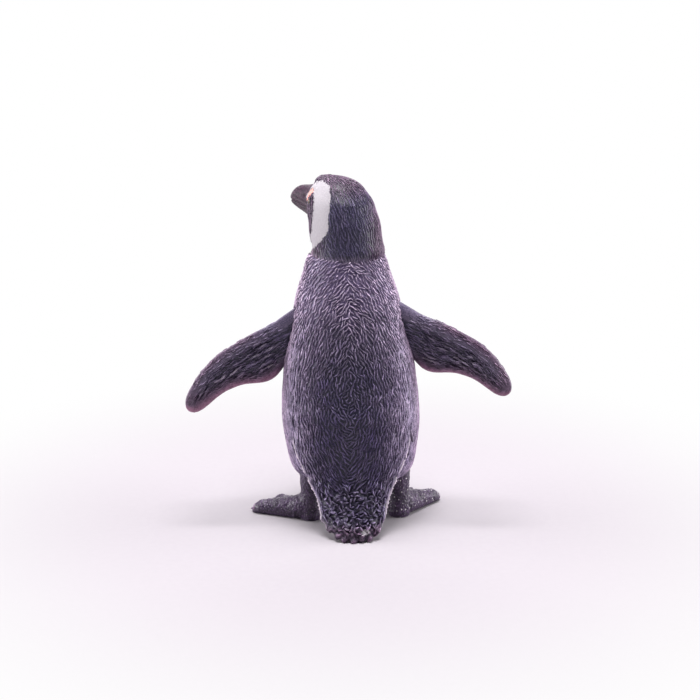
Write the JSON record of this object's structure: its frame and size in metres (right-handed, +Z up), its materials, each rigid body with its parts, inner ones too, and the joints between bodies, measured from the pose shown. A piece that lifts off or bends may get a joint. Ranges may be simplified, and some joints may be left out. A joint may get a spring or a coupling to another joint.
{
  "type": "penguin figurine",
  "caption": "Standing penguin figurine with wings held out, head turned to its left, webbed feet and a tail that reaches the floor.",
  "frame": {"origin": "on the floor, under the middle of the figure's bounding box", "axes": "+Z up, the penguin faces -Y, and its left side is +X"},
  "size_m": [0.0544, 0.0266, 0.058],
  "materials": {
    "feathered_vinyl": "satin painted vinyl, dark purple-grey over moulded feathers",
    "scaly_vinyl": "satin painted vinyl, dark, over moulded scales"
  },
  "bodies": {
    "root": {"trunk": "feathered_vinyl", "head": "feathered_vinyl", "left_flipper": "feathered_vinyl", "right_flipper": "feathered_vinyl", "left_leg": "scaly_vinyl", "right_leg": "scaly_vinyl", "tail": "feathered_vinyl"}
  },
  "joints": []
}
